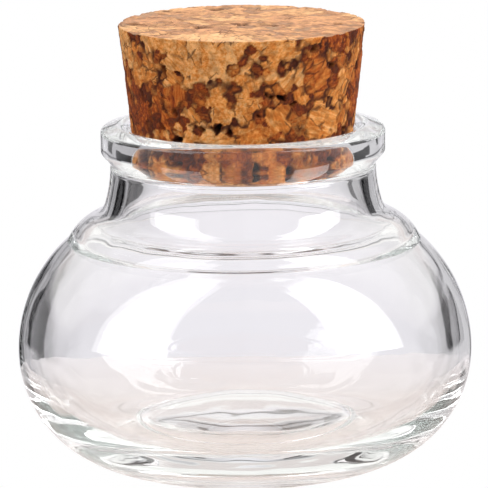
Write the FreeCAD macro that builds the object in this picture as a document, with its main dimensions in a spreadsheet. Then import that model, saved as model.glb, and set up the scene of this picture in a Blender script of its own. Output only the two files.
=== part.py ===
import FreeCAD, Part
import math
import os
import Sketcher

# Squat jar of clear glass with a round belly, a stepped shoulder and a beaded mouth, closed by a tapered
# cork. Millimetres, +Z up. The origin is on the jar's axis, in the plane that the jar stands on.

SIZES = {
    # Outside of the glass, from the table up
    "belly_diameter": "60",
    "belly_height": "15.2",  # the widest ring above the table, and the radius of the rounded heel
    "upper_belly_radius": "19.3",
    "shoulder_width": "5.8",  # from the neck's narrowest ring out to the crease under the shoulder
    "shoulder_radius": "6",
    "crease_turn": "24.8",  # degrees by which the glass turns upright again at the crease
    "shoulder_rise": "10.4",  # from the crease up to the neck's narrowest ring
    "crease_radius": "0.5",
    "neck_foot_radius": "2.9",
    "neck_flare_radius": "19.3",
    "neck_diameter": "34.9",
    "finish_height": "5.4",  # from the neck's narrowest ring up to the rim
    "bead_proud": "1.25",
    "bead_bevel_height": "1.4",
    "bead_root_radius": "0.8",
    "bead_edge_radius": "0.8",
    "lip_fall": "1",  # the lip slopes down by this much from the mouth out to the bead
    "lip_outer_radius": "0.6",
    "lip_inner_radius": "1.6",
    # Inside of the glass
    "belly_wall": "1.6",
    "neck_wall": "2.1",
    "heel_glass": "4.5",  # glass under the lowest ring of the inside
    "floor_rise": "3.8",  # the middle of the floor above that ring
    "inner_crease_radius": "2",
    "seat_depth": "5",
    "ledge_width": "1",  # the mouth's seat stands in from the neck's inside by this much
    "ledge_height": "1.4",
    # Underside of the glass
    "bearing_width": "0.8",
    "bearing_edge_radius": "0.3",
    "push_up_step": "1.2",
    "push_up_rise": "2.8",
    "push_up_corner_radius": "0.8",
    # Cork
    "cork_length": "18.1",
    "cork_insert": "5.2",
    "cork_taper": "4.1",  # the top's diameter less the bottom's
    "cork_bottom_radius": "0.3",
    "cork_top_radius": "0.25",
    "seat_gap": "0.1",
    "cut_overrun": "1",
}


def lay_out_sheet(document):
    """The driving dimensions, one to a row, each with its name as the alias."""
    sheet = document.addObject("Spreadsheet::Sheet", "Sizes")
    for row, (name, text) in enumerate(SIZES.items(), start=1):
        sheet.set(f"A{row}", name)
        sheet.set(f"B{row}", text)
        sheet.setAlias(f"B{row}", name)
    document.recompute()
    return sheet


class Sizes:
    """The sheet's numbers under their own names."""

    def __init__(self, sheet):
        for name in SIZES:
            setattr(self, name, float(sheet.get(name)))


class Segment:
    """One line or arc of an outline, with its ends in the order in which the outline is walked."""

    def __init__(self, index, first, last):
        self.index = index
        self.start = (index, first)
        self.end = (index, last)
        self.centre = (index, 3)


class Outline:
    """A closed half section on a body's XZ plane: x is the distance from the axis and y the height."""

    origin = (-1, 1)

    def __init__(self, body, name):
        plane = next(item for item in body.Origin.OriginFeatures if item.Role == "XZ_Plane")
        self.sketch = body.newObject("Sketcher::SketchObject", name)
        self.sketch.AttachmentSupport = [(plane, "")]
        self.sketch.MapMode = "FlatFace"
        self.rings = {}

    def line(self, start, end):
        edge = Part.LineSegment(FreeCAD.Vector(*start), FreeCAD.Vector(*end))
        return Segment(self.sketch.addGeometry(edge), 1, 2)

    def arc(self, centre, start, end):
        first = math.atan2(start[1] - centre[1], start[0] - centre[0])
        last = math.atan2(end[1] - centre[1], end[0] - centre[0])
        circle = Part.Circle(FreeCAD.Vector(*centre), FreeCAD.Vector(0, 0, 1), math.dist(centre, start))
        if math.sin(last - first) > 0:
            return Segment(self.sketch.addGeometry(Part.ArcOfCircle(circle, first, last)), 1, 2)
        return Segment(self.sketch.addGeometry(Part.ArcOfCircle(circle, last, first)), 2, 1)

    def mark(self, place):
        """A construction point, drawn only to be measured from."""
        return (self.sketch.addGeometry(Part.Point(FreeCAD.Vector(*place)), True), 1)

    def spoke(self, arc, point):
        """A construction line from an arc's centre out to a point, drawn only to measure its lean."""
        ends = [self.sketch.getPoint(*arc.centre), self.sketch.getPoint(*point)]
        line = Segment(self.sketch.addGeometry(Part.LineSegment(*ends), True), 1, 2)
        self.hold("Coincident", *line.start, *arc.centre)
        self.hold("Coincident", *line.end, *point)
        return line

    def hold(self, kind, *places):
        self.sketch.addConstraint(Sketcher.Constraint(kind, *places))

    def meet(self, first, second):
        self.hold("Coincident", *first.end, *second.start)

    def flow(self, *segments):
        """Each segment runs on smoothly into the next."""
        for first, second in zip(segments, segments[1:]):
            self.hold("Tangent", *first.end, *second.start)

    def lie_on(self, point, *segments):
        for segment in segments:
            self.hold("PointOnObject", *point, segment.index)

    def on_axis(self, *points):
        for point in points:
            self.hold("Vertical", *point, *self.origin)

    def level(self, first, second):
        self.hold("Horizontal", *first, *second)

    def size(self, name, kind, places, formula):
        """A named dimension that starts at the drawn size and then follows its formula."""
        self.sketch.addConstraint(Sketcher.Constraint(kind, *places, self.drawn(kind, places)))
        self.sketch.renameConstraint(self.sketch.ConstraintCount - 1, name)
        self.sketch.setExpression(f"Constraints.{name}", formula)

    def across(self, name, point, formula, start=origin):
        self.size(name, "DistanceX", (*start, *point), formula)

    def above(self, name, point, formula, start=origin):
        self.size(name, "DistanceY", (*start, *point), formula)

    def round(self, name, segment, formula):
        self.size(name, "Radius", (segment.index,), formula)

    def angle(self, name, first, second, formula):
        """Degrees from the first line round to the second."""
        self.size(name, "Angle", (first.index, second.index), formula)

    def read(self, name, kind, point):
        """A named dimension that other outlines read, and that drives nothing here."""
        places = (*self.origin, *point)
        index = self.sketch.addConstraint(Sketcher.Constraint(kind, *places, self.drawn(kind, places)))
        self.sketch.setDriving(index, False)
        self.sketch.renameConstraint(index, name)

    def drawn(self, kind, places):
        if kind == "Radius":
            return self.sketch.Geometry[places[0]].Radius
        if kind == "Angle":
            first, second = (self.sketch.Geometry[place].toShape().tangentAt(0) for place in places)
            return first.getAngle(second)
        first = self.sketch.getPoint(*places[:2])
        last = self.sketch.getPoint(*places[2:])
        return last.x - first.x if kind == "DistanceX" else last.y - first.y

    def known(self, name):
        return self.sketch.getDatum(name).Value


def crossing(centre, radius, other_centre, other_radius, left):
    """Where two circles cross, to the left or right of the way from the first centre to the second."""
    gap = math.dist(centre, other_centre)
    along = (gap**2 + radius**2 - other_radius**2) / gap / 2
    aside = math.sqrt(radius**2 - along**2) * (1 if left else -1)
    way = ((other_centre[0] - centre[0]) / gap, (other_centre[1] - centre[1]) / gap)
    return (centre[0] + along * way[0] - aside * way[1], centre[1] + along * way[1] + aside * way[0])


def towards(start, target, length):
    gap = math.dist(start, target)
    return tuple(a + (b - a) * length / gap for a, b in zip(start, target))


def turn(body, kind, name, outline):
    """The outline turned once round the axis, to add or to cut."""
    feature = body.newObject(kind, name)
    feature.Profile = outline.sketch
    feature.ReferenceAxis = (outline.sketch, ["V_Axis"])
    feature.Angle = 360
    body.Document.recompute()


def cut(body, name, outline):
    before = body.Shape.Volume
    turn(body, "PartDesign::Groove", name, outline)
    if not body.Shape.Volume < before:
        raise RuntimeError(f"{name} cut nothing")


def round_rings(body, outline):
    """A fillet on each ring edge that the outline names, with the size that has the same name."""
    for name, point in outline.rings.items():
        corner = outline.sketch.getPoint(*point)
        base = body.Tip
        offsets = {}
        for number, edge in enumerate(base.Shape.Edges, start=1):
            if not edge.Degenerated and edge.isClosed():
                box = edge.BoundBox
                offsets[number] = math.hypot(box.XLength / 2 - corner.x, box.Center.z - corner.y)
        fillet = body.newObject("PartDesign::Fillet", f"{name}_round")
        fillet.Base = (base, [f"Edge{min(offsets, key=offsets.get)}"])
        fillet.setExpression("Radius", f"Sizes.{name}_radius")
        body.Document.recompute()


def draw_glass_outside(body, size):
    """The whole outer form: base, heel, belly, crease, shoulder, neck, bead and rim."""
    belly = size.belly_diameter / 2
    neck = size.neck_diameter / 2
    heel_centre = (belly - size.belly_height, size.belly_height)
    upper_centre = (belly - size.upper_belly_radius, size.belly_height)
    corner_reach = neck + size.shoulder_width - upper_centre[0]
    corner_lift = math.sqrt(size.upper_belly_radius**2 - corner_reach**2)
    corner = (neck + size.shoulder_width, size.belly_height + corner_lift)
    shoulder_lean = math.atan2(corner_lift, corner_reach) - math.radians(size.crease_turn)
    shoulder_centre = (
        corner[0] - size.shoulder_radius * math.cos(shoulder_lean),
        corner[1] - size.shoulder_radius * math.sin(shoulder_lean),
    )
    crease_centre = crossing(
        upper_centre,
        size.upper_belly_radius + size.crease_radius,
        shoulder_centre,
        size.shoulder_radius + size.crease_radius,
        left=False,
    )
    crease_foot = towards(upper_centre, crease_centre, size.upper_belly_radius)
    crease_top = towards(shoulder_centre, crease_centre, size.shoulder_radius)
    waist = (neck, corner[1] + size.shoulder_rise)
    flare_centre = (neck + size.neck_flare_radius, waist[1])
    foot_centre = crossing(
        flare_centre,
        size.neck_flare_radius - size.neck_foot_radius,
        shoulder_centre,
        size.shoulder_radius + size.neck_foot_radius,
        left=False,
    )
    shoulder_top = towards(shoulder_centre, foot_centre, size.shoulder_radius)
    foot_top = towards(flare_centre, foot_centre, size.neck_flare_radius)
    rim_height = waist[1] + size.finish_height
    bead = neck + size.bead_proud
    bead_edge = (bead, waist[1] + size.bead_bevel_height)
    bevel_length = math.dist(waist, bead_edge)
    half_turn = math.atan2(size.bead_proud, size.bead_bevel_height) / 2
    root_reach = size.bead_root_radius * math.tan(half_turn)
    edge_reach = size.bead_edge_radius * math.tan(half_turn)
    root_foot = (neck, waist[1] - root_reach)
    root_top = towards(waist, bead_edge, root_reach)
    edge_foot = towards(waist, bead_edge, bevel_length - edge_reach)
    edge_top = (bead, bead_edge[1] + edge_reach)

    outline = Outline(body, "glass_outside")
    base = outline.line((0, 0), (heel_centre[0], 0))
    heel = outline.arc(heel_centre, (heel_centre[0], 0), (belly, size.belly_height))
    upper_belly = outline.arc(upper_centre, (belly, size.belly_height), crease_foot)
    crease = outline.arc(crease_centre, crease_foot, crease_top)
    shoulder = outline.arc(shoulder_centre, crease_top, shoulder_top)
    foot = outline.arc(foot_centre, shoulder_top, foot_top)
    flare = outline.arc(flare_centre, foot_top, root_foot)
    root = outline.arc((neck + size.bead_root_radius, root_foot[1]), root_foot, root_top)
    bevel = outline.line(root_top, edge_foot)
    edge = outline.arc((bead - size.bead_edge_radius, edge_top[1]), edge_foot, edge_top)
    side = outline.line(edge_top, (bead, rim_height))
    rim = outline.line((bead, rim_height), (0, rim_height))
    axis = outline.line((0, rim_height), (0, 0))
    corner_mark = outline.mark(corner)
    waist_mark = outline.mark(waist)
    bead_mark = outline.mark(bead_edge)

    outline.flow(base, heel, upper_belly, crease, shoulder, foot, flare, root, bevel, edge, side)
    outline.meet(side, rim)
    outline.meet(rim, axis)
    outline.meet(axis, base)
    outline.hold("Coincident", *base.start, *outline.origin)
    outline.hold("Horizontal", base.index)
    outline.hold("Vertical", side.index)
    outline.hold("Horizontal", rim.index)
    outline.on_axis(rim.end)
    outline.level(heel.end, heel.centre)
    outline.lie_on(corner_mark, upper_belly, shoulder)
    belly_spoke = outline.spoke(upper_belly, corner_mark)
    shoulder_spoke = outline.spoke(shoulder, corner_mark)
    outline.lie_on(waist_mark, flare, bevel)
    outline.level(waist_mark, flare.centre)
    outline.lie_on(bead_mark, bevel, side)

    outline.across("belly", heel.end, "Sizes.belly_diameter / 2")
    outline.above("belly_height", heel.centre, "Sizes.belly_height")
    outline.round("upper_belly_radius", upper_belly, "Sizes.upper_belly_radius")
    outline.across("corner", corner_mark, "Sizes.neck_diameter / 2 + Sizes.shoulder_width")
    outline.round("crease_radius", crease, "Sizes.crease_radius")
    outline.round("shoulder_radius", shoulder, "Sizes.shoulder_radius")
    outline.angle("crease_turn", shoulder_spoke, belly_spoke, "Sizes.crease_turn")
    outline.round("neck_foot_radius", foot, "Sizes.neck_foot_radius")
    outline.round("neck_flare_radius", flare, "Sizes.neck_flare_radius")
    outline.across("neck", waist_mark, "Sizes.neck_diameter / 2")
    outline.above("shoulder_rise", waist_mark, "Sizes.shoulder_rise", start=corner_mark)
    outline.round("bead_root_radius", root, "Sizes.bead_root_radius")
    outline.above("bead_bevel_height", bead_mark, "Sizes.bead_bevel_height", start=waist_mark)
    outline.across("bead_proud", bead_mark, "Sizes.bead_proud", start=waist_mark)
    outline.round("bead_edge_radius", edge, "Sizes.bead_edge_radius")
    outline.above("finish_height", side.end, "Sizes.finish_height", start=waist_mark)

    outline.read("shoulder_centre", "DistanceX", shoulder.centre)
    outline.read("shoulder_centre_height", "DistanceY", shoulder.centre)
    outline.read("waist_height", "DistanceY", waist_mark)
    outline.read("rim_height", "DistanceY", rim.end)
    body.Document.recompute()
    return outline


def draw_glass_inside(body, size, outside):
    """The hollow: the sloped lip, the cork's seat, a ledge under it, neck, shoulder, belly and raised floor."""
    rim_height = outside.known("rim_height")
    waist_height = outside.known("waist_height")
    shoulder_centre = (outside.known("shoulder_centre"), outside.known("shoulder_centre_height"))
    belly = size.belly_diameter / 2
    inner_belly = belly - size.belly_wall
    inner_neck = size.neck_diameter / 2 - size.neck_wall
    taper = size.cork_taper / size.cork_length / 2
    top_height = rim_height + size.cut_overrun
    seat_foot = (inner_neck - size.ledge_width, rim_height - size.seat_depth)
    mouth = (seat_foot[0] + taper * size.seat_depth, rim_height)
    bead = (size.neck_diameter / 2 + size.bead_proud, rim_height - size.lip_fall)
    brim = bead[0] + size.cut_overrun
    lip_foot = towards(mouth, bead, math.dist(mouth, bead) * (brim - mouth[0]) / (bead[0] - mouth[0]))
    flare_centre = (size.neck_diameter / 2 + size.neck_flare_radius, waist_height)
    flare_radius = size.neck_flare_radius + size.neck_wall
    foot_radius = size.neck_foot_radius + size.neck_wall
    shoulder_radius = size.shoulder_radius - size.neck_wall
    ledge_foot_height = seat_foot[1] - size.ledge_height
    ledge_foot_reach = math.sqrt(flare_radius**2 - (ledge_foot_height - waist_height) ** 2)
    ledge_foot = (flare_centre[0] - ledge_foot_reach, ledge_foot_height)
    foot_centre = crossing(
        flare_centre,
        flare_radius - foot_radius,
        shoulder_centre,
        shoulder_radius + foot_radius,
        left=False,
    )
    foot_top = towards(flare_centre, foot_centre, flare_radius)
    shoulder_top = towards(shoulder_centre, foot_centre, shoulder_radius)
    upper_centre = (belly - size.upper_belly_radius, size.belly_height)
    upper_radius = size.upper_belly_radius - size.belly_wall
    crease_centre = crossing(
        upper_centre,
        upper_radius + size.inner_crease_radius,
        shoulder_centre,
        shoulder_radius + size.inner_crease_radius,
        left=False,
    )
    crease_top = towards(shoulder_centre, crease_centre, shoulder_radius)
    crease_foot = towards(upper_centre, crease_centre, upper_radius)
    heel_radius = size.belly_height - size.heel_glass
    heel_centre = (inner_belly - heel_radius, size.belly_height)
    floor_height = size.heel_glass + size.floor_rise
    floor_drop = size.belly_height - floor_height
    floor_radius = (heel_centre[0] ** 2 + floor_drop**2 - heel_radius**2) / size.floor_rise / 2
    floor_centre = (0, floor_height - floor_radius)
    floor_edge = towards(floor_centre, heel_centre, floor_radius)

    outline = Outline(body, "glass_inside")
    top = outline.line((0, top_height), (brim, top_height))
    side = outline.line((brim, top_height), lip_foot)
    lip = outline.line(lip_foot, mouth)
    seat = outline.line(mouth, seat_foot)
    ledge = outline.line(seat_foot, ledge_foot)
    flare = outline.arc(flare_centre, ledge_foot, foot_top)
    foot = outline.arc(foot_centre, foot_top, shoulder_top)
    shoulder = outline.arc(shoulder_centre, shoulder_top, crease_top)
    crease = outline.arc(crease_centre, crease_top, crease_foot)
    upper_belly = outline.arc(upper_centre, crease_foot, (inner_belly, size.belly_height))
    heel = outline.arc(heel_centre, (inner_belly, size.belly_height), floor_edge)
    floor = outline.arc(floor_centre, floor_edge, (0, floor_height))
    axis = outline.line((0, floor_height), (0, top_height))
    rim_mark = outline.mark((0, rim_height))
    bead_mark = outline.mark(bead)
    cork_foot_mark = outline.mark((0, rim_height - size.cork_insert))

    outline.meet(top, side)
    outline.meet(side, lip)
    outline.meet(lip, seat)
    outline.meet(seat, ledge)
    outline.meet(ledge, flare)
    outline.flow(flare, foot, shoulder, crease, upper_belly, heel, floor)
    outline.meet(floor, axis)
    outline.meet(axis, top)
    outline.hold("Horizontal", top.index)
    outline.hold("Vertical", side.index)
    outline.on_axis(axis.start, axis.end, floor.centre, rim_mark, cork_foot_mark)
    outline.level(heel.start, heel.centre)
    outline.level(lip.end, rim_mark)
    outline.lie_on(bead_mark, lip)

    seat_spread = "Sizes.cork_taper / 2 * Sizes.seat_depth / Sizes.cork_length"
    outline.above("rim_height", rim_mark, "glass_outside.Constraints.rim_height")
    outline.above("overrun", top.start, "Sizes.cut_overrun", start=rim_mark)
    outline.across("bead", bead_mark, "Sizes.neck_diameter / 2 + Sizes.bead_proud")
    outline.above("lip_fall", rim_mark, "Sizes.lip_fall", start=bead_mark)
    outline.across("bead_overrun", side.end, "Sizes.cut_overrun", start=bead_mark)
    outline.across("seat_spread", seat.start, seat_spread, start=seat.end)
    outline.across("seat_foot", seat.end, "Sizes.neck_diameter / 2 - Sizes.neck_wall - Sizes.ledge_width")
    outline.above("seat_depth", rim_mark, "Sizes.seat_depth", start=seat.end)
    outline.above("cork_insert", rim_mark, "Sizes.cork_insert", start=cork_foot_mark)
    outline.above("ledge_height", ledge.start, "Sizes.ledge_height", start=ledge.end)
    outline.across("flare_centre", flare.centre, "Sizes.neck_diameter / 2 + Sizes.neck_flare_radius")
    outline.above("flare_centre_height", flare.centre, "glass_outside.Constraints.waist_height")
    outline.round("flare_radius", flare, "Sizes.neck_flare_radius + Sizes.neck_wall")
    outline.round("foot_radius", foot, "Sizes.neck_foot_radius + Sizes.neck_wall")
    outline.across("shoulder_centre", shoulder.centre, "glass_outside.Constraints.shoulder_centre")
    outline.above("shoulder_height", shoulder.centre, "glass_outside.Constraints.shoulder_centre_height")
    outline.round("shoulder_radius", shoulder, "Sizes.shoulder_radius - Sizes.neck_wall")
    outline.round("inner_crease_radius", crease, "Sizes.inner_crease_radius")
    outline.round("upper_belly_radius", upper_belly, "Sizes.upper_belly_radius - Sizes.belly_wall")
    outline.across("belly", heel.start, "Sizes.belly_diameter / 2 - Sizes.belly_wall")
    outline.above("belly_height", heel.centre, "Sizes.belly_height")
    outline.round("heel_radius", heel, "Sizes.belly_height - Sizes.heel_glass")
    outline.above("floor_height", floor.end, "Sizes.heel_glass + Sizes.floor_rise")

    outline.rings = {"lip_outer": bead_mark, "lip_inner": lip.end}
    outline.read("cork_foot_height", "DistanceY", cork_foot_mark)
    body.Document.recompute()
    return outline


def draw_push_up(body, size):
    """The hollow under the base: a short rounded step inside the bearing ring, then a shallow dome."""
    edge = size.belly_diameter / 2 - size.belly_height - size.bearing_width
    dome_rise = size.push_up_rise - size.push_up_step
    dome_radius = (edge**2 + dome_rise**2) / dome_rise / 2
    dome_centre = (0, size.push_up_rise - dome_radius)
    corner_reach = edge - size.push_up_corner_radius
    corner_lift = math.sqrt((dome_radius - size.push_up_corner_radius) ** 2 - corner_reach**2)
    corner_centre = (corner_reach, dome_centre[1] + corner_lift)
    corner_top = towards(dome_centre, corner_centre, dome_radius)

    outline = Outline(body, "push_up_section")
    under = outline.line((0, -size.cut_overrun), (edge, -size.cut_overrun))
    step = outline.line((edge, -size.cut_overrun), (edge, corner_centre[1]))
    corner = outline.arc(corner_centre, (edge, corner_centre[1]), corner_top)
    dome = outline.arc(dome_centre, corner_top, (0, size.push_up_rise))
    axis = outline.line((0, size.push_up_rise), (0, -size.cut_overrun))
    step_mark = outline.mark((edge, size.push_up_step))

    outline.meet(under, step)
    outline.flow(step, corner, dome)
    outline.meet(dome, axis)
    outline.meet(axis, under)
    outline.hold("Horizontal", under.index)
    outline.hold("Vertical", step.index)
    outline.on_axis(axis.start, axis.end, dome.centre)
    outline.lie_on(step_mark, step, dome)

    outline.above("overrun", outline.origin, "Sizes.cut_overrun", start=under.start)
    outline.across("edge", step.end, "Sizes.belly_diameter / 2 - Sizes.belly_height - Sizes.bearing_width")
    outline.above("step", step_mark, "Sizes.push_up_step")
    outline.above("rise", dome.end, "Sizes.push_up_rise")
    outline.round("corner_radius", corner, "Sizes.push_up_corner_radius")

    outline.rings = {"bearing_edge": step.start}
    body.Document.recompute()
    return outline


def draw_cork(body, size, inside):
    """The half section of the cork, which fills the mouth's seat all round but for the gap."""
    taper = size.cork_taper / size.cork_length / 2
    seat_foot = inside.known("seat_foot")
    seat_height = size.cork_insert - size.seat_depth
    bottom = seat_foot - size.seat_gap - taper * seat_height
    top = bottom + size.cork_taper / 2

    outline = Outline(body, "cork_section")
    end = outline.line((0, 0), (bottom, 0))
    side = outline.line((bottom, 0), (top, size.cork_length))
    face = outline.line((top, size.cork_length), (0, size.cork_length))
    axis = outline.line((0, size.cork_length), (0, 0))
    rim_mark = outline.mark((0, size.cork_insert))
    seat_mark = outline.mark((seat_foot, seat_height))
    side_mark = outline.mark((seat_foot - size.seat_gap, seat_height))

    outline.meet(end, side)
    outline.meet(side, face)
    outline.meet(face, axis)
    outline.meet(axis, end)
    outline.hold("Coincident", *end.start, *outline.origin)
    outline.hold("Horizontal", end.index)
    outline.hold("Horizontal", face.index)
    outline.on_axis(face.end, rim_mark)
    outline.level(side_mark, seat_mark)
    outline.lie_on(side_mark, side)

    outline.above("insert", rim_mark, "Sizes.cork_insert")
    outline.above("seat_depth", rim_mark, "Sizes.seat_depth", start=seat_mark)
    outline.across("seat_foot", seat_mark, "glass_inside.Constraints.seat_foot")
    outline.across("seat_gap", seat_mark, "Sizes.seat_gap", start=side_mark)
    outline.across("taper", side.end, "Sizes.cork_taper / 2", start=side.start)
    outline.above("length", face.end, "Sizes.cork_length")

    outline.rings = {"cork_bottom": side.start, "cork_top": side.end}
    body.Document.recompute()
    return outline


def make_glass_jar(document, size):
    body = document.addObject("PartDesign::Body", "glass_jar")
    body.Label = "glass_jar"
    outside = draw_glass_outside(body, size)
    turn(body, "PartDesign::Revolution", "glass_form", outside)
    inside = draw_glass_inside(body, size, outside)
    cut(body, "hollow", inside)
    push_up = draw_push_up(body, size)
    cut(body, "push_up", push_up)
    for outline in (inside, push_up):
        round_rings(body, outline)
    return body, inside


def make_cork_stopper(document, size, inside):
    body = document.addObject("PartDesign::Body", "cork_stopper")
    body.Label = "cork_stopper"
    outline = draw_cork(body, size, inside)
    turn(body, "PartDesign::Revolution", "cork_form", outline)
    round_rings(body, outline)
    body.setExpression("Placement.Base.z", "glass_inside.Constraints.cork_foot_height")
    document.recompute()
    return body


def check(document, bodies):
    for item in document.Objects:
        if {"Invalid", "Error"} & set(item.State):
            raise RuntimeError(f"{item.Label} did not recompute")
        if item.isDerivedFrom("Sketcher::SketchObject") and not item.FullyConstrained:
            raise RuntimeError(f"{item.Label} is not fully constrained")
    for body in bodies:
        if body.Shape.isNull() or not body.Shape.isValid():
            raise RuntimeError(f"{body.Label} has no valid solid")


def main():
    document = FreeCAD.newDocument("glass_jar_with_cork_stopper")
    size = Sizes(lay_out_sheet(document))
    glass_jar, inside = make_glass_jar(document, size)
    cork_stopper = make_cork_stopper(document, size, inside)
    bodies = [glass_jar, cork_stopper]
    check(document, bodies)
    os.makedirs("parts", exist_ok=True)
    for body in bodies:
        body.Shape.exportStep(f"parts/{body.Label}.step")
        print(body.Label, round(body.Shape.Volume), "mm3", body.Shape.BoundBox)


main()
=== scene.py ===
import math

import bpy
import numpy as np
from mathutils import Euler, Matrix, Vector, kdtree, noise


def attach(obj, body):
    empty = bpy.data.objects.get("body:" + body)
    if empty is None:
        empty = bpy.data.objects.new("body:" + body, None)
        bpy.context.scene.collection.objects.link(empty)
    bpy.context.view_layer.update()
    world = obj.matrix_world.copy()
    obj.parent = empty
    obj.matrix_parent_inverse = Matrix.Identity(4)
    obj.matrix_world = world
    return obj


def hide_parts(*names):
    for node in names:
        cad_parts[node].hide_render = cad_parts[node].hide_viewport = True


# A squat glass jar with a tapered stopper of coarse granulated cork, in metres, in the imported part's frame.

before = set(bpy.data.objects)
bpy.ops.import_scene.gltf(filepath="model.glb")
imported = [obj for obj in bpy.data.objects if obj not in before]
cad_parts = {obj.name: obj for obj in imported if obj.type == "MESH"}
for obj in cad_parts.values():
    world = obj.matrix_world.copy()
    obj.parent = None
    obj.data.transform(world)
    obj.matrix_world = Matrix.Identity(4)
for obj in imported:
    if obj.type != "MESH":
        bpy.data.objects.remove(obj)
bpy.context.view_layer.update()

# Outside of the glass, from the table up
BELLY_RADIUS = 0.0300
BELLY_HEIGHT = 0.0152
UPPER_BELLY_RADIUS = 0.0193
SHOULDER_WIDTH = 0.0058
SHOULDER_RADIUS = 0.0060
CREASE_TURN = math.radians(24.8)
SHOULDER_RISE = 0.0104
CREASE_RADIUS = 0.0005
NECK_FOOT_RADIUS = 0.0029
NECK_FLARE_RADIUS = 0.0193
NECK_RADIUS = 0.01745
FINISH_HEIGHT = 0.0054
BEAD_PROUD = 0.00125
BEAD_BEVEL_HEIGHT = 0.0014
BEAD_ROOT_RADIUS = 0.0008
BEAD_EDGE_RADIUS = 0.0008
LIP_FALL = 0.0010
LIP_OUTER_RADIUS = 0.0006
LIP_INNER_RADIUS = 0.0016

# Inside of the glass
BELLY_WALL = 0.0016
NECK_WALL = 0.0021
HEEL_GLASS = 0.0045
FLOOR_RISE = 0.0038
INNER_CREASE_RADIUS = 0.0020
SEAT_DEPTH = 0.0050
LEDGE_WIDTH = 0.0010
LEDGE_HEIGHT = 0.0014

# Underside of the glass
BEARING_WIDTH = 0.0008
BEARING_EDGE_RADIUS = 0.0003
PUSH_UP_STEP = 0.0012
PUSH_UP_RISE = 0.0028
PUSH_UP_CORNER_RADIUS = 0.0008

# Cork
CORK_LENGTH = 0.0181
CORK_INSERT = 0.0052
CORK_TAPER = 0.0041
CORK_BOTTOM_RADIUS = 0.0003
CORK_TOP_RADIUS = 0.00025
SEAT_GAP = 0.0001

# Fineness of the turned meshes
GLASS_TURNS = 240
GLASS_STEP = 0.0006
ROUND_STEPS = 7
SAME_POINT = GLASS_STEP / 1000
CORK_TURNS = 580
CORK_STEP = 0.00017
CORK_FACE_STEP = 0.00045
CORK_FOOT_STEP = 0.0018

# Chips of the cork, and the crumbs between them
CORK_SEED = 5
CHIP_COUNT = 190
CHIP_STRETCH = (0.40, 1.50)
CHIP_TONE_SPREAD = (4.6, 1.7)
CRUMBLED_SHARE = 0.03
CRUMB_COUNT = 16000
CRUMB_STRETCH = (0.55, 1.60)
CRUMB_TONE_SPREAD = (1.8, 2.2)
CRUMB_BELT = 0.00065
HOLE_SHARE = 0.10
NEIGHBOURS = 9
FRAY = 0.00010
FRAY_LENGTH = 0.0004

# Relief of the cork's skin, all of it cut inwards
SEAM_WIDTH = 0.00014
SEAM_NARROWEST = 0.7
SEAM_WIDENING = 0.8
SEAM_DEPTH = 0.00012
SEAM_LENGTH = 0.0020
SEAM_OPENING = (-0.5, 0.4)
CRUMB_SEAM_SHARE = 0.5
CRUMB_SINK = 0.00022
CHIP_SINK = 0.00010
HOLE_DEPTH = 0.0012
SKIN_ROUGHNESS = 0.00004
SKIN_GRAIN = 0.0004
TORN_EDGE = 0.0008
TORN_DEPTH = 0.00020
TORN_LENGTH = 0.0016
TORN_SPREAD = (0.05, 0.5)

# What sanding takes off the relief of the cork's flat ends, and off the painted shade in their seams and
# cracks
SANDED_LEAN = (0.7, 0.9)
SANDED_SEAM_LOSS = 0.7
SANDED_SINK_LOSS = 0.8
SANDED_HOLE_LOSS = 0.5
SANDED_CRACK_SHADE_LOSS = 0.08

# Colours of the cork, the chips' from the darkest tone to the palest, and the painted shade of its seams,
# cracks and holes
CHIP_COLOURS = (
    (0, (0.10, 0.026, 0.008)),
    (0.20, (0.175, 0.027, 0.004)),
    (0.42, (0.385, 0.085, 0.010)),
    (0.66, (0.54, 0.175, 0.029)),
    (0.84, (0.65, 0.270, 0.068)),
    (1, (0.74, 0.38, 0.14)),
)
SANDED_TAN = (0.89, 0.59, 0.36)
SANDED_TAN_SHARE = 0.42
# Brown of the glue, made darker as painted shade; it is laid into the seams between chips and the cracks
# between flakes
GLUE_AND_SHADE_BROWN = (0.045, 0.010, 0.004)
# Near-black painted shade in the holes left by missing crumbs
HOLE_SHADE_BROWN = (0.012, 0.004, 0.003)

# Grain of the cork: how often its patterns change in a metre, along and across a chip
STREAK_SCALE = (450, 2400, 2400)
FLAKE_SCALE = (260, 420, 900)
SPECK_SCALE = 900
CRACKED_PATCH_SCALE = 300

# What the grain does to a chip's tone, shade and surface, and to the painted shade in its cracks
STREAK_SPAN = (0.3, 0.7)
STREAK_TONES = (-0.30, 0.22)
STREAK_BUMP = 0.00025
STREAK_BUMP_STRENGTH = 0.5
FLAKE_BEND = 0.0006
FLAKE_TONES = (-0.20, 0.16)
SPECK_SPAN = (0.35, 0.60)
SPECK_SHADES = (0.64, 1.12)
CRACKED_PATCH_SPAN = (0.52, 0.68)
# Painted shade in the cracks between flakes: how wide it reaches and how dark it gets
CRACK_WIDTH = 0.17
CRACK_SHADE_DARKNESS = 0.85
CORK_ROUGHNESS = (0.72, 0.95)
CORK_GLOSS = 0.22

# Glass
GLASS_IOR = 1.52
GLASS_TINT = (0.76, 0.82, 0.80)
GLASS_TINT_DENSITY = 7
RIPPLE_SCALE = 110
RIPPLE_BUMP = 0.0004
RIPPLE_BUMP_STRENGTH = 0.3
SMEAR_SCALE = 70
SMEAR_SPAN = (0.5, 0.75)
SMEAR_ROUGHNESS = 0.035

# Camera, from the fit of the jar's outline to the photograph
IMAGE_SIDE = 488
CAMERA_DISTANCE = 0.550
CAMERA_ELEVATION = math.radians(11.6)
CAMERA_ROLL = math.radians(0.6)
CAMERA_TARGET = Vector((0, 0, 0.029))
CAMERA_NEAR = 0.01
FOCAL_PIXELS = 4166
SENSOR_WIDTH = 36

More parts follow.
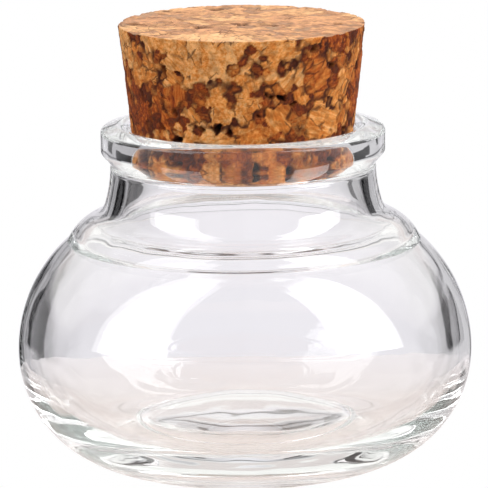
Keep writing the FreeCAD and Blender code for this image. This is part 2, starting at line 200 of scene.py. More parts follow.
# Studio, in degrees: bearings from the camera's side, plus to its right, and heights above the table
ROOM_GREY = (0.46, 0.45, 0.47)
RIGHT_ROOM_GREY = (0.62, 0.61, 0.63)
RIGHT_ROOM_FADE = (-5, 5)
BACKDROP_LAVENDER = (0.91, 0.89, 0.94)
BACKDROP_FADE = (15, 1)
BACK_SKY_WHITE = (1.05, 1.05, 1.03)
BACK_SKY_HEIGHTS = (9.5, 13)
BACK_SKY_FADE = (85, 65)
BACK_BAND_PINK = (0.80, 0.735, 0.725)
BACK_BAND_HEIGHTS = (12.2, 17.5)
BACK_BAND_FADE = (45, 30)
BACK_STRIP_GREY = (0.08, 0.08, 0.085)
BACK_STRIP_HEIGHTS = (6, 8.2)
BACK_STRIP_FADE = (70, 60)

# Dark cards, named for the part of the glass where each one shows most
CARD_BLACK = (0.005, 0.005, 0.006)
CARD_SOFTNESS = 0.7
LEFT_BELLY_CARD = (-168, -157)
LEFT_BELLY_HEIGHTS = (-16, 1)
RIGHT_BELLY_CARD = (163, 167)
RIGHT_BELLY_HEIGHTS = (-14, -2)
LEFT_NECK_CARD = (-150, -140)
LEFT_NECK_HEIGHTS = (-9, 10)
RIGHT_NECK_CARD = (136, 148)
RIGHT_NECK_HEIGHTS = (-9, 4)
LEFT_BEAD_CARD = (-142, -112)
RIGHT_BEAD_CARD = (118, 140)
BEAD_HEIGHTS = (-8, 8)

# Softboxes
LEFT_SOFTBOX = (-84, -42)
LEFT_SOFTBOX_TOP = 76
LEFT_SOFTBOX_WHITE = (3.4, 3.4, 3.4)
RIGHT_SOFTBOX = (50, 88)
RIGHT_SOFTBOX_TOP = 68
RIGHT_SOFTBOX_WHITE = (5.3, 5.3, 5.3)
SOFTBOX_FOOT = 21.4
SOFTBOX_FOOT_SLANT = 0.17
SOFTBOX_FOOT_SOFTNESS = 0.5
SOFTBOX_SIDE_SOFTNESS = 1
SOFTBOX_TOP_SOFTNESS = 4

# Table
TABLE_PINK = (0.61, 0.545, 0.515)
TABLE_FAR_PINK = (0.645, 0.615, 0.63)
TABLE_FADE_START = -0.010
TABLE_SIDE = 0.058
TABLE_BACK = 0.048
TABLE_FRONT = 0.5
TABLE_DROP = 0.00005


def towards(start, target, length):
    gap = math.dist(start, target)
    return tuple(a + (b - a) * length / gap for a, b in zip(start, target))


def crossing(centre, radius, other_centre, other_radius):
    """Where two circles cross, to the right of the way from the first centre to the second."""
    gap = math.dist(centre, other_centre)
    along = (gap**2 + radius**2 - other_radius**2) / gap / 2
    aside = math.sqrt(radius**2 - along**2)
    way = ((other_centre[0] - centre[0]) / gap, (other_centre[1] - centre[1]) / gap)
    return (centre[0] + along * way[0] + aside * way[1], centre[1] + along * way[1] - aside * way[0])


def line(start, end, step):
    """Points from start to end, both of them among the points."""
    count = max(1, math.ceil(math.dist(start, end) / step))
    return [towards(start, end, math.dist(start, end) * i / count) for i in range(count + 1)]


def arc(centre, start, end, step):
    """Points on the shorter arc from start to end, both of them among the points."""
    radius = math.dist(centre, start)
    first = math.atan2(start[1] - centre[1], start[0] - centre[0])
    last = math.atan2(end[1] - centre[1], end[0] - centre[0])
    turn = math.remainder(last - first, math.tau)
    count = max(ROUND_STEPS, math.ceil(abs(turn) * radius / step))
    angles = [first + turn * i / count for i in range(count + 1)]
    return [(centre[0] + radius * math.cos(a), centre[1] + radius * math.sin(a)) for a in angles]


def rounded(before, corner, after, radius, step):
    """Points on the round of a corner between two straight runs."""
    first = towards(corner, before, 1)
    second = towards(corner, after, 1)
    first = (first[0] - corner[0], first[1] - corner[1])
    second = (second[0] - corner[0], second[1] - corner[1])
    half = math.acos(first[0] * second[0] + first[1] * second[1]) / 2
    reach = radius / math.tan(half)
    middle = (first[0] + second[0], first[1] + second[1])
    depth = radius / math.sin(half) / math.hypot(*middle)
    centre = (corner[0] + middle[0] * depth, corner[1] + middle[1] * depth)
    start = (corner[0] + first[0] * reach, corner[1] + first[1] * reach)
    end = (corner[0] + second[0] * reach, corner[1] + second[1] * reach)
    return arc(centre, start, end, step)


def joined(*runs):
    """The runs as one list of points, without the doubled ones where two runs meet."""
    points = []
    for run in runs:
        for point in run:
            if not points or math.dist(points[-1], point) > SAME_POINT:
                points.append(point)
    return points


class JarSection:
    """The glass cut through its axis: outside, mouth, inside and underside as (radius, height) points."""

    def __init__(self):
        self.upper_centre = (BELLY_RADIUS - UPPER_BELLY_RADIUS, BELLY_HEIGHT)
        reach = NECK_RADIUS + SHOULDER_WIDTH - self.upper_centre[0]
        lift = math.sqrt(UPPER_BELLY_RADIUS**2 - reach**2)
        self.corner = (NECK_RADIUS + SHOULDER_WIDTH, BELLY_HEIGHT + lift)
        lean = math.atan2(lift, reach) - CREASE_TURN
        self.shoulder_centre = (
            self.corner[0] - SHOULDER_RADIUS * math.cos(lean),
            self.corner[1] - SHOULDER_RADIUS * math.sin(lean),
        )
        self.waist_height = self.corner[1] + SHOULDER_RISE
        self.rim_height = self.waist_height + FINISH_HEIGHT
        self.flare_centre = (NECK_RADIUS + NECK_FLARE_RADIUS, self.waist_height)
        self.seat_slope = CORK_TAPER / CORK_LENGTH / 2
        self.seat_foot = (NECK_RADIUS - NECK_WALL - LEDGE_WIDTH, self.rim_height - SEAT_DEPTH)
        self.mouth = (self.seat_foot[0] + self.seat_slope * SEAT_DEPTH, self.rim_height)
        self.lip_edge = (NECK_RADIUS + BEAD_PROUD, self.rim_height - LIP_FALL)

    def crease_run(self, upper_radius, shoulder_radius, crease_radius, foot_radius, flare_radius):
        """Belly, crease, shoulder and foot of the neck, upwards, for one skin of the glass."""
        crease_centre = crossing(
            self.upper_centre,
            upper_radius + crease_radius,
            self.shoulder_centre,
            shoulder_radius + crease_radius,
        )
        foot_centre = crossing(
            self.flare_centre,
            flare_radius - foot_radius,
            self.shoulder_centre,
            shoulder_radius + foot_radius,
        )
        belly = (self.upper_centre[0] + upper_radius, BELLY_HEIGHT)
        crease_foot = towards(self.upper_centre, crease_centre, upper_radius)
        crease_top = towards(self.shoulder_centre, crease_centre, shoulder_radius)
        shoulder_top = towards(self.shoulder_centre, foot_centre, shoulder_radius)
        foot_top = towards(self.flare_centre, foot_centre, flare_radius)
        return joined(
            arc(self.upper_centre, belly, crease_foot, GLASS_STEP),
            arc(crease_centre, crease_foot, crease_top, GLASS_STEP),
            arc(self.shoulder_centre, crease_top, shoulder_top, GLASS_STEP),
            arc(foot_centre, shoulder_top, foot_top, GLASS_STEP),
        )

    def underside(self):
        edge = BELLY_RADIUS - BELLY_HEIGHT - BEARING_WIDTH
        dome_rise = PUSH_UP_RISE - PUSH_UP_STEP
        dome_radius = (edge**2 + dome_rise**2) / dome_rise / 2
        dome_centre = (0, PUSH_UP_RISE - dome_radius)
        inset = edge - PUSH_UP_CORNER_RADIUS
        lift = math.sqrt((dome_radius - PUSH_UP_CORNER_RADIUS) ** 2 - inset**2)
        corner_centre = (inset, dome_centre[1] + lift)
        corner_top = towards(dome_centre, corner_centre, dome_radius)
        corner_foot = (edge, corner_centre[1])
        heel_foot = (BELLY_RADIUS - BELLY_HEIGHT, 0)
        return joined(
            arc(dome_centre, (0, PUSH_UP_RISE), corner_top, GLASS_STEP),
            arc(corner_centre, corner_top, corner_foot, GLASS_STEP),
            rounded(corner_foot, (edge, 0), heel_foot, BEARING_EDGE_RADIUS, GLASS_STEP),
        )

    def outside(self):
        heel_centre = (BELLY_RADIUS - BELLY_HEIGHT, BELLY_HEIGHT)
        heel = arc(heel_centre, (heel_centre[0], 0), (BELLY_RADIUS, BELLY_HEIGHT), GLASS_STEP)
        crease = self.crease_run(
            UPPER_BELLY_RADIUS, SHOULDER_RADIUS, CREASE_RADIUS, NECK_FOOT_RADIUS, NECK_FLARE_RADIUS
        )
        waist = (NECK_RADIUS, self.waist_height)
        bead_edge = (self.lip_edge[0], self.waist_height + BEAD_BEVEL_HEIGHT)
        half_turn = math.atan2(BEAD_PROUD, BEAD_BEVEL_HEIGHT) / 2
        root_foot = (NECK_RADIUS, waist[1] - BEAD_ROOT_RADIUS * math.tan(half_turn))
        return joined(
            heel,
            crease,
            arc(self.flare_centre, crease[-1], root_foot, GLASS_STEP),
            rounded(root_foot, waist, bead_edge, BEAD_ROOT_RADIUS, GLASS_STEP),
            rounded(waist, bead_edge, self.lip_edge, BEAD_EDGE_RADIUS, GLASS_STEP),
            rounded(bead_edge, self.lip_edge, self.mouth, LIP_OUTER_RADIUS, GLASS_STEP),
        )

    def inside(self):
        flare_radius = NECK_FLARE_RADIUS + NECK_WALL
        ledge_foot_height = self.seat_foot[1] - LEDGE_HEIGHT
        ledge_reach = math.sqrt(flare_radius**2 - (ledge_foot_height - self.waist_height) ** 2)
        ledge_foot = (self.flare_centre[0] - ledge_reach, ledge_foot_height)
        crease = self.crease_run(
            UPPER_BELLY_RADIUS - BELLY_WALL,
            SHOULDER_RADIUS - NECK_WALL,
            INNER_CREASE_RADIUS,
            NECK_FOOT_RADIUS + NECK_WALL,
            flare_radius,
        )
        heel_radius = BELLY_HEIGHT - HEEL_GLASS
        heel_centre = (BELLY_RADIUS - BELLY_WALL - heel_radius, BELLY_HEIGHT)
        floor_height = HEEL_GLASS + FLOOR_RISE
        drop = BELLY_HEIGHT - floor_height
        floor_radius = (heel_centre[0] ** 2 + drop**2 - heel_radius**2) / FLOOR_RISE / 2
        floor_centre = (0, floor_height - floor_radius)
        floor_edge = towards(floor_centre, heel_centre, floor_radius)
        return joined(
            rounded(self.lip_edge, self.mouth, self.seat_foot, LIP_INNER_RADIUS, GLASS_STEP),
            line(self.seat_foot, ledge_foot, GLASS_STEP),
            arc(self.flare_centre, ledge_foot, crease[-1], GLASS_STEP),
            crease[::-1],
            arc(heel_centre, crease[0], floor_edge, GLASS_STEP),
            arc(floor_centre, floor_edge, (0, floor_height), GLASS_STEP),
        )


def turned_mesh(name, section, turns):
    """A closed mesh made by turning a section, which starts and ends on the axis, once round it."""
    ring = np.array(section[1:-1])
    angles = np.arange(turns) * math.tau / turns
    x = ring[:, 0, None] * np.cos(angles)
    y = ring[:, 0, None] * np.sin(angles)
    z = np.repeat(ring[:, 1, None], turns, axis=1)
    points = np.stack([x, y, z], axis=-1).reshape(-1, 3)
    first_pole = len(points)
    points = np.vstack([points, [[0, 0, section[0][1]], [0, 0, section[-1][1]]]])
    row = np.arange(turns)
    beside = np.roll(row, -1)
    faces = []
    for lower in range(0, first_pole - turns, turns):
        upper = lower + turns
        faces += np.stack([lower + row, lower + beside, upper + beside, upper + row], 1).tolist()
    last = first_pole - turns
    faces += np.stack([np.full(turns, first_pole), beside, row], 1).tolist()
    faces += np.stack([np.full(turns, first_pole + 1), last + row, last + beside], 1).tolist()
    mesh = bpy.data.meshes.new(name)
    mesh.from_pydata(points.tolist(), [], faces)
    mesh.shade_smooth()
    mesh.update()
    return mesh


def new_object(name, mesh, material):
    piece = bpy.data.objects.new(name, mesh)
    bpy.context.scene.collection.objects.link(piece)
    piece.data.materials.append(material)
    return piece


class Shading:
    """A node tree, with short ways to add the nodes that its colours are made of."""

    def __init__(self, owner):
        owner.use_nodes = True
        self.tree = owner.node_tree
        self.tree.nodes.clear()

    def node(self, kind, **settings):
        made = self.tree.nodes.new(kind)
        for name, value in settings.items():
            setattr(made, name, value)
        return made

    def feed(self, socket, source):
        """Links a socket to another node's output, or sets it to a plain value."""
        if isinstance(source, bpy.types.NodeSocket):
            self.tree.links.new(source, socket)
        else:
            socket.default_value = source

    def maths(self, operation, *values):
        made = self.node("ShaderNodeMath", operation=operation)
        for socket, value in zip(made.inputs, values):
            self.feed(socket, value)
        return made.outputs[0]

    def ranged(self, value, span, result=(0, 1), smooth=False):
        """Turns the run of a value through a span into a run through the result's span."""
        made = self.node("ShaderNodeMapRange", interpolation_type="SMOOTHSTEP" if smooth else "LINEAR")
        self.feed(made.inputs["Value"], value)
        self.feed(made.inputs["From Min"], span[0])
        self.feed(made.inputs["From Max"], span[1])
        self.feed(made.inputs["To Min"], result[0])
        self.feed(made.inputs["To Max"], result[1])
        return made.outputs["Result"]

    def mixed(self, under, over, share, blend_type="MIX"):
        made = self.node("ShaderNodeMix", data_type="RGBA", blend_type=blend_type)
        self.feed(made.inputs["Factor"], share)
        self.feed(made.inputs["A"], under)
        self.feed(made.inputs["B"], over)
        return made.outputs["Result"]


class Finish(Shading):
    """The material of one piece."""

    def __init__(self, name):
        self.material = bpy.data.materials.new(name)
        super().__init__(self.material)
        self.out = self.node("ShaderNodeOutputMaterial")

    def place(self):
        return self.node("ShaderNodeTexCoord").outputs["Object"]

    def note(self, name, output="Fac"):
        """What the mesh holds under this name at each of its points."""
        return self.node("ShaderNodeAttribute", attribute_name=name).outputs[output]

    def noise_texture(self, place, scale, detail=2, roughness=0.5):
        made = self.node("ShaderNodeTexNoise")
        self.feed(made.inputs["Vector"], place)
        self.feed(made.inputs["Scale"], scale)
        self.feed(made.inputs["Detail"], detail)
        self.feed(made.inputs["Roughness"], roughness)
        return made

    def stretched(self, place, scale):
        made = self.node("ShaderNodeMapping")
        self.feed(made.inputs["Vector"], place)
        self.feed(made.inputs["Scale"], scale)
        return made.outputs["Vector"]

    def bump(self, height, strength, distance):
        made = self.node("ShaderNodeBump")
        self.feed(made.inputs["Strength"], strength)
        self.feed(made.inputs["Distance"], distance)
        self.feed(made.inputs["Height"], height)
        return made.outputs["Normal"]

    def two_shaders(self, first, second, share):
        made = self.node("ShaderNodeMixShader")
        self.feed(made.inputs["Fac"], share)
        self.feed(made.inputs[1], first.outputs[0])
        self.feed(made.inputs[2], second.outputs[0])
        return made.outputs[0]


def clear_glass():
    """Slightly rippled and smeared glass, which lets shadow rays and diffuse light straight through."""
    glass = Finish("clear_glass")
    place = glass.place()
    ripples = glass.noise_texture(place, RIPPLE_SCALE, detail=1.5, roughness=0.4).outputs["Fac"]
    smears = glass.noise_texture(place, SMEAR_SCALE, detail=5).outputs["Fac"]
    body = glass.node("ShaderNodeBsdfPrincipled")
    body.inputs["Base Color"].default_value = (1, 1, 1, 1)
    body.inputs["IOR"].default_value = GLASS_IOR
    body.inputs["Transmission Weight"].default_value = 1
    glass.feed(body.inputs["Roughness"], glass.ranged(smears, SMEAR_SPAN, (0, SMEAR_ROUGHNESS)))
    glass.feed(body.inputs["Normal"], glass.bump(ripples, RIPPLE_BUMP_STRENGTH, RIPPLE_BUMP))

    through = glass.node("ShaderNodeBsdfTransparent")
    path = glass.node("ShaderNodeLightPath")
    passing = glass.maths("MAXIMUM", path.outputs["Is Shadow Ray"], path.outputs["Is Diffuse Ray"])
    glass.feed(glass.out.inputs["Surface"], glass.two_shaders(body, through, passing))
    tint = glass.node("ShaderNodeVolumeAbsorption")
    tint.inputs["Color"].default_value = (*GLASS_TINT, 1)
    tint.inputs["Density"].default_value = GLASS_TINT_DENSITY
    glass.feed(glass.out.inputs["Volume"], tint.outputs[0])
    return glass.material


def cork_flakes(cork, place, grain, wobble):
    """How much lighter each flake of a chip is, and the painted shade in the cracks between the flakes."""
    bent = cork.node("ShaderNodeMix", data_type="VECTOR")
    cork.feed(bent.inputs["Factor"], FLAKE_BEND)
    cork.feed(bent.inputs["A"], grain)
    cork.feed(bent.inputs["B"], wobble)
    along_grain = cork.stretched(bent.outputs["Result"], FLAKE_SCALE)
    flakes = cork.node("ShaderNodeTexVoronoi")
    edges = cork.node("ShaderNodeTexVoronoi", feature="DISTANCE_TO_EDGE")
    for texture in (flakes, edges):
        cork.feed(texture.inputs["Vector"], along_grain)
        cork.feed(texture.inputs["Scale"], 1)
    flake_tone = cork.ranged(flakes.outputs["Color"], (0, 1), FLAKE_TONES)
    cracked_patches = cork.noise_texture(place, CRACKED_PATCH_SCALE).outputs["Fac"]
    crack_width = cork.ranged(cracked_patches, CRACKED_PATCH_SPAN, (0, CRACK_WIDTH))
    # Painted shade along the edges of the flakes, standing for the shade inside cracks
    crack_shade = cork.ranged(edges.outputs["Distance"], (0, crack_width), (CRACK_SHADE_DARKNESS, 0))
    return flake_tone, crack_shade


def chip_colours(cork, tone):
    ramp = cork.node("ShaderNodeValToRGB")
    stops = ramp.color_ramp.elements
    for position, _ in CHIP_COLOURS[1:-1]:
        stops.new(position)
    for stop, (position, colour) in zip(stops, CHIP_COLOURS):
        stop.position = position
        stop.color = (*colour, 1)
    cork.feed(ramp.inputs["Fac"], tone)
    return ramp.outputs["Color"]


def granulated_cork():
    """Chips streaked along their grain, flaked and speckled, with glue and painted shade in the seams between
    them, painted shade in the cracks between flakes, and near-black painted shade in the holes.
    """
    cork = Finish("granulated_cork")
    place = cork.place()
    grain = cork.note("chip_grain", "Vector")
    cut_face = cork.note("cut_face")
    specks = cork.noise_texture(place, SPECK_SCALE, detail=4, roughness=0.7)
    along_grain = cork.stretched(grain, STREAK_SCALE)
    streaks = cork.noise_texture(along_grain, 1, detail=5, roughness=0.65).outputs["Fac"]
    flake_tone, crack_shade = cork_flakes(cork, place, grain, specks.outputs["Color"])

    tone = cork.maths("ADD", cork.note("chip_tone"), flake_tone)
    tone = cork.maths("ADD", tone, cork.ranged(streaks, STREAK_SPAN, STREAK_TONES))
    colour = chip_colours(cork, tone)
    sanded = cork.maths("MULTIPLY", cut_face, SANDED_TAN_SHARE)
    colour = cork.mixed(colour, (*SANDED_TAN, 1), sanded)
    speckle = cork.ranged(specks.outputs["Fac"], SPECK_SPAN, SPECK_SHADES)
    colour = cork.mixed(colour, speckle, 1, "MULTIPLY")
    crack_shade = cork.maths("MULTIPLY_ADD", cut_face, -SANDED_CRACK_SHADE_LOSS, crack_shade)
    # Seams get glue darkened with painted shade, and cracks get painted shade alone; both take the same dark
    # brown
    glue_and_shade_lines = cork.maths("MAXIMUM", cork.note("seam"), crack_shade)
    colour = cork.mixed(colour, (*GLUE_AND_SHADE_BROWN, 1), glue_and_shade_lines)
    # The holes left by missing crumbs get near-black painted shade
    colour = cork.mixed(colour, (*HOLE_SHADE_BROWN, 1), cork.note("hole"))

    body = cork.node("ShaderNodeBsdfPrincipled")
    body.inputs["Specular IOR Level"].default_value = CORK_GLOSS
    cork.feed(body.inputs["Base Color"], colour)
    cork.feed(body.inputs["Roughness"], cork.ranged(specks.outputs["Fac"], (0, 1), CORK_ROUGHNESS))
    cork.feed(body.inputs["Normal"], cork.bump(streaks, STREAK_BUMP_STRENGTH, STREAK_BUMP))
    cork.feed(cork.out.inputs["Surface"], body.outputs[0])
    return cork.material


def noise_vectors(places):
    return np.array([noise.noise_vector(place) for place in places.tolist()])


def noise_values(places):
    return np.array([noise.noise(place) for place in places.tolist()])


def smooth_step(start, end, values):
    share = np.clip((values - start) / (end - start), 0, 1)
    return share * share * (3 - 2 * share)


def point_vectors(mesh, name):
    values = np.empty(len(mesh.vertices) * 3)
    mesh.vertices.foreach_get(name, values)
    return values.reshape(-1, 3)


class Shards:
    """Flat and long bits of ground cork that fill a block, each one the space round its own middle."""

    def __init__(self, dice, low, high, count, stretch):
        self.middles = dice.uniform(low, high, (count, 3))
        self.turns = np.linalg.qr(dice.normal(size=(count, 3, 3)))[0]
        self.frames = self.turns / dice.uniform(*stretch, (count, 3, 1))
        self.tree = kdtree.KDTree(count)
        for index, middle in enumerate(self.middles.tolist()):
            self.tree.insert(middle, index)
        self.tree.balance()

    def around(self, places):
        """The bit at each place, the bit next to it, and about how far off the line between them is."""
        found = [self.tree.find_n(place, NEIGHBOURS) for place in places.tolist()]
        near = np.array([[bit[1] for bit in bits] for bits in found])
        offset = places[:, None, :] - self.middles[near]
        reach = np.linalg.norm(np.einsum("mnij,mnj->mni", self.frames[near], offset), axis=2)
        order = np.argsort(reach, axis=1)[:, :2]
        pair = np.take_along_axis(near, order, axis=1)
        first, second = np.take_along_axis(reach, order, axis=1).T
        return pair[:, 0], pair[:, 1], (second - first) / 2


class CorkBlock:
    """Chips of ground cork pressed into a block, with crumbs packed between them and some crumbs missing."""

    def __init__(self, foot_height, height, radius):
        dice = np.random.default_rng(CORK_SEED)
        low = (-radius, -radius, foot_height)
        high = (radius, radius, foot_height + height)
        chips = Shards(dice, low, high, CHIP_COUNT, CHIP_STRETCH)
        chip_tone = dice.beta(*CHIP_TONE_SPREAD, CHIP_COUNT)
        chip_sunk = dice.uniform(0, CHIP_SINK, CHIP_COUNT)
        crumbled = dice.uniform(0, 1, CHIP_COUNT) < CRUMBLED_SHARE

        self.crumbs = Shards(dice, low, high, CRUMB_COUNT, CRUMB_STRETCH)
        self.crumb_chip, _, inside = chips.around(self.crumbs.middles)
        belt = dice.uniform(0, CRUMB_BELT, CRUMB_COUNT)
        self.loose = (inside < belt) | crumbled[self.crumb_chip]
        self.missing = self.loose & (dice.uniform(0, 1, CRUMB_COUNT) < HOLE_SHARE)
        crumb_tone = dice.beta(*CRUMB_TONE_SPREAD, CRUMB_COUNT)
        crumb_sunk = dice.uniform(0, CRUMB_SINK, CRUMB_COUNT)
        self.tone = np.where(self.loose, crumb_tone, chip_tone[self.crumb_chip])
        self.sunk = np.where(self.loose, crumb_sunk, chip_sunk[self.crumb_chip])
        own_turns = self.loose[:, None, None]
        self.turns = np.where(own_turns, self.crumbs.turns, chips.turns[self.crumb_chip])


def press_chips(mesh, block, top):
    """Cuts seams, steps and holes into the cork's skin, and notes each bit's tone and grain on it."""
    places = point_vectors(mesh, "co")
    outward = point_vectors(mesh, "normal")
    crumb, other, gap = block.crumbs.around(places + FRAY * noise_vectors(places / FRAY_LENGTH))
    both_loose = block.loose[crumb] & block.loose[other]
    either_loose = block.loose[crumb] | block.loose[other]
    apart = either_loose | (block.crumb_chip[crumb] != block.crumb_chip[other])
    cut_face = smooth_step(*SANDED_LEAN, np.abs(outward[:, 2]))
    open_share = smooth_step(*SEAM_OPENING, noise_values(places / SEAM_LENGTH))

    width = SEAM_WIDTH * (SEAM_NARROWEST + SEAM_WIDENING * open_share)
    seam = np.where(apart, np.exp(-((gap / width) ** 2)), 0) * open_share
    seam *= 1 - SANDED_SEAM_LOSS * cut_face
    seam *= np.where(both_loose, CRUMB_SEAM_SHARE, 1)
    hole = np.where(block.missing[crumb], smooth_step(0, SEAM_WIDTH, gap), 0)
    rim_gap = np.hypot(top[1] - places[:, 2], top[0] - np.hypot(places[:, 0], places[:, 1]))
    torn = smooth_step(*TORN_SPREAD, noise_values(places / TORN_LENGTH))
    torn *= np.exp(-((rim_gap / TORN_EDGE) ** 2))

    depth = SEAM_DEPTH * seam + block.sunk[crumb] * (1 - SANDED_SINK_LOSS * cut_face)
    depth += HOLE_DEPTH * hole * (1 - SANDED_HOLE_LOSS * cut_face)
    depth += SKIN_ROUGHNESS * (1 + noise_values(places / SKIN_GRAIN))
    depth += TORN_DEPTH * torn
    mesh.vertices.foreach_set("co", (places - outward * depth[:, None]).ravel())

    grain = np.einsum("mij,mj->mi", block.turns[crumb], places)
    notes = {"chip_tone": block.tone[crumb], "seam": seam, "hole": hole, "cut_face": cut_face}
    for name, values in notes.items():
        mesh.attributes.new(name, "FLOAT", "POINT").data.foreach_set("value", values)
    mesh.attributes.new("chip_grain", "FLOAT_VECTOR", "POINT").data.foreach_set("vector", grain.ravel())
    mesh.update()


def make_glass_jar(section):
    points = joined(section.underside(), section.outside(), section.inside())
    jar = new_object("jar_glass", turned_mesh("jar_glass", points, GLASS_TURNS), clear_glass())
    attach(jar, "jar")
    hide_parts("glass_jar")


def make_cork(section):
    bottom_height = section.rim_height - CORK_INSERT
    bottom_radius = section.seat_foot[0] - SEAT_GAP - section.seat_slope * (CORK_INSERT - SEAT_DEPTH)
    bottom = (bottom_radius, bottom_height)
    top = (bottom_radius + CORK_TAPER / 2, bottom_height + CORK_LENGTH)
    foot_round = rounded((0, bottom_height), bottom, top, CORK_BOTTOM_RADIUS, CORK_STEP)
    top_round = rounded(bottom, top, (0, top[1]), CORK_TOP_RADIUS, CORK_STEP)
    points = joined(
        line((0, bottom_height), foot_round[0], CORK_FOOT_STEP),
        foot_round,
        line(foot_round[-1], top_round[0], CORK_STEP),
        top_round,
        line(top_round[-1], (0, top[1]), CORK_FACE_STEP),
    )
    mesh = turned_mesh("cork", points, CORK_TURNS)
    # Blender's vector noise starts from the clock unless it is seeded
    noise.seed_set(CORK_SEED)
    press_chips(mesh, CorkBlock(bottom_height, CORK_LENGTH, top[0]), top)
    cork = new_object("cork", mesh, granulated_cork())
    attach(cork, "stopper")
    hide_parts("cork_stopper")


def pale_table():
    """Pink near the jar and paler towards the far edge, but white to the camera, as the world is."""
    table = Finish("pale_floor")
    split = table.node("ShaderNodeSeparateXYZ")
    table.feed(split.inputs[0], table.place())
    far = table.ranged(split.outputs["Y"], (TABLE_FADE_START, TABLE_BACK))
    matt = table.node("ShaderNodeBsdfDiffuse")
    table.feed(matt.inputs["Color"], table.mixed((*TABLE_PINK, 1), (*TABLE_FAR_PINK, 1), far))
    white = table.node("ShaderNodeEmission")
    path = table.node("ShaderNodeLightPath")
    seen = table.two_shaders(matt, white, path.outputs["Is Camera Ray"])
    table.feed(table.out.inputs["Surface"], seen)
    return table.material


def make_floor():
    corners = [
        (-TABLE_SIDE, -TABLE_FRONT, -TABLE_DROP),
        (TABLE_SIDE, -TABLE_FRONT, -TABLE_DROP),
        (TABLE_SIDE, TABLE_BACK, -TABLE_DROP),
        (-TABLE_SIDE, TABLE_BACK, -TABLE_DROP),
    ]
    mesh = bpy.data.meshes.new("floor")
    mesh.from_pydata(corners, [], [(0, 1, 2, 3)])
    floor = new_object("floor", mesh, pale_table())


class Studio(Shading):
    """The light all round the jar, as a world whose brightness depends on the direction."""

    def __init__(self):
        world = bpy.data.worlds.new("studio")
        bpy.context.scene.world = world
        super().__init__(world)
        split = self.node("ShaderNodeSeparateXYZ")
        self.feed(split.inputs[0], self.node("ShaderNodeTexCoord").outputs["Generated"])
        x, y, z = split.outputs
        turn = self.maths("ARCTAN2", x, self.maths("MULTIPLY", y, -1))
        self.bearing = self.maths("DEGREES", turn)
        self.height = self.maths("DEGREES", self.maths("ARCSINE", z))
        self.from_front = self.maths("ABSOLUTE", self.bearing)
        self.from_back = self.maths("SUBTRACT", 180, self.from_front)
        self.colour = (*ROOM_GREY, 1)

    def step(self, value, start, end):
        return self.ranged(value, (start, end), smooth=True)

    def band(self, value, low, high, soft):
        rise = self.step(value, low - soft, low + soft)
        fall = self.step(value, high + soft, high - soft)
        return self.maths("MULTIPLY", rise, fall)

    def paint(self, mask, colour):
        """Lays a colour over what is there, as far as the mask covers it."""
        self.colour = self.mixed(self.colour, (*colour, 1), mask)

    def back_band(self, heights, fade, colour):
        """A level band across the back, which fades out towards the sides."""
        up = self.band(self.height, *heights, CARD_SOFTNESS)
        self.paint(self.maths("MULTIPLY", up, self.step(self.from_back, *fade)), colour)

    def dark_card(self, bearings, heights):
        across = self.band(self.bearing, *bearings, CARD_SOFTNESS)
        up = self.band(self.height, *heights, CARD_SOFTNESS)
        self.paint(self.maths("MULTIPLY", across, up), CARD_BLACK)

    def softbox(self, bearings, top, white):
        """A bright panel whose foot slants down towards the back."""
        across = self.band(self.bearing, *bearings, SOFTBOX_SIDE_SOFTNESS)
        slant = self.maths("MULTIPLY", self.from_front, SOFTBOX_FOOT_SLANT)
        above_foot = self.maths("SUBTRACT", self.maths("ADD", self.height, slant), SOFTBOX_FOOT)
        rise = self.step(above_foot, -SOFTBOX_FOOT_SOFTNESS, SOFTBOX_FOOT_SOFTNESS)
        fall = self.step(self.height, top + SOFTBOX_TOP_SOFTNESS, top - SOFTBOX_TOP_SOFTNESS)
        up = self.maths("MULTIPLY", rise, fall)
        self.paint(self.maths("MULTIPLY", across, up), white)

    def light(self):
        """Shows the studio to the glass, and plain white to the camera."""
        path = self.node("ShaderNodeLightPath")
        background = self.node("ShaderNodeBackground")
        seen = self.mixed(self.colour, (1, 1, 1, 1), path.outputs["Is Camera Ray"])
        self.feed(background.inputs["Color"], seen)
        out = self.node("ShaderNodeOutputWorld")
        self.feed(out.inputs["Surface"], background.outputs[0])


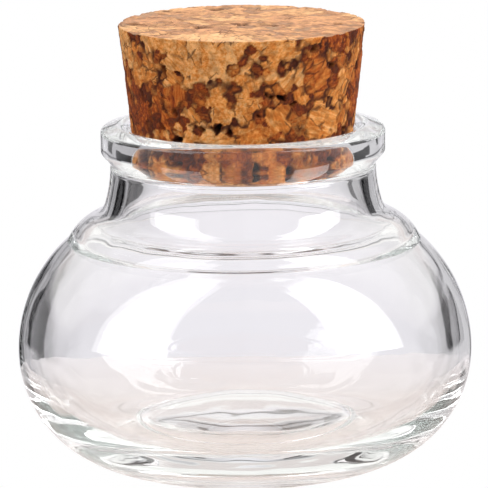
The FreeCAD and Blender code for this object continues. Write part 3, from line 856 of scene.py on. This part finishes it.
def light_studio():
    studio = Studio()
    studio.paint(studio.step(studio.bearing, *RIGHT_ROOM_FADE), RIGHT_ROOM_GREY)
    studio.paint(studio.step(studio.from_back, *BACKDROP_FADE), BACKDROP_LAVENDER)
    sky = studio.step(studio.height, *BACK_SKY_HEIGHTS)
    sky = studio.maths("MULTIPLY", sky, studio.step(studio.from_back, *BACK_SKY_FADE))
    studio.paint(sky, BACK_SKY_WHITE)
    studio.back_band(BACK_BAND_HEIGHTS, BACK_BAND_FADE, BACK_BAND_PINK)
    studio.back_band(BACK_STRIP_HEIGHTS, BACK_STRIP_FADE, BACK_STRIP_GREY)
    studio.dark_card(LEFT_BELLY_CARD, LEFT_BELLY_HEIGHTS)
    studio.dark_card(RIGHT_BELLY_CARD, RIGHT_BELLY_HEIGHTS)
    studio.dark_card(LEFT_NECK_CARD, LEFT_NECK_HEIGHTS)
    studio.dark_card(RIGHT_NECK_CARD, RIGHT_NECK_HEIGHTS)
    studio.dark_card(LEFT_BEAD_CARD, BEAD_HEIGHTS)
    studio.dark_card(RIGHT_BEAD_CARD, BEAD_HEIGHTS)
    studio.softbox(LEFT_SOFTBOX, LEFT_SOFTBOX_TOP, LEFT_SOFTBOX_WHITE)
    studio.softbox(RIGHT_SOFTBOX, RIGHT_SOFTBOX_TOP, RIGHT_SOFTBOX_WHITE)
    studio.light()


def set_bounces():
    """Deep enough for light that turns back many times inside the thick heel."""
    cycles = bpy.context.scene.cycles
    cycles.max_bounces = 96
    cycles.glossy_bounces = 80
    cycles.transmission_bounces = 64
    cycles.transparent_max_bounces = 32


def place_camera():
    lens = bpy.data.cameras.new("camera")
    lens.sensor_width = SENSOR_WIDTH
    lens.lens = FOCAL_PIXELS / IMAGE_SIDE * SENSOR_WIDTH
    lens.clip_start = CAMERA_NEAR
    camera = bpy.data.objects.new("camera", lens)
    bpy.context.scene.collection.objects.link(camera)
    away = Vector((0, -math.cos(CAMERA_ELEVATION), math.sin(CAMERA_ELEVATION)))
    camera.location = CAMERA_TARGET + away * CAMERA_DISTANCE
    tilt = Euler((math.pi / 2 - CAMERA_ELEVATION, 0, 0)).to_matrix()
    camera.rotation_euler = (tilt @ Matrix.Rotation(-CAMERA_ROLL, 3, "Z")).to_euler()
    bpy.context.scene.camera = camera


section = JarSection()
make_glass_jar(section)
make_cork(section)
make_floor()
light_studio()
set_bounces()
place_camera()
bpy.context.scene.view_settings.view_transform = "Standard"
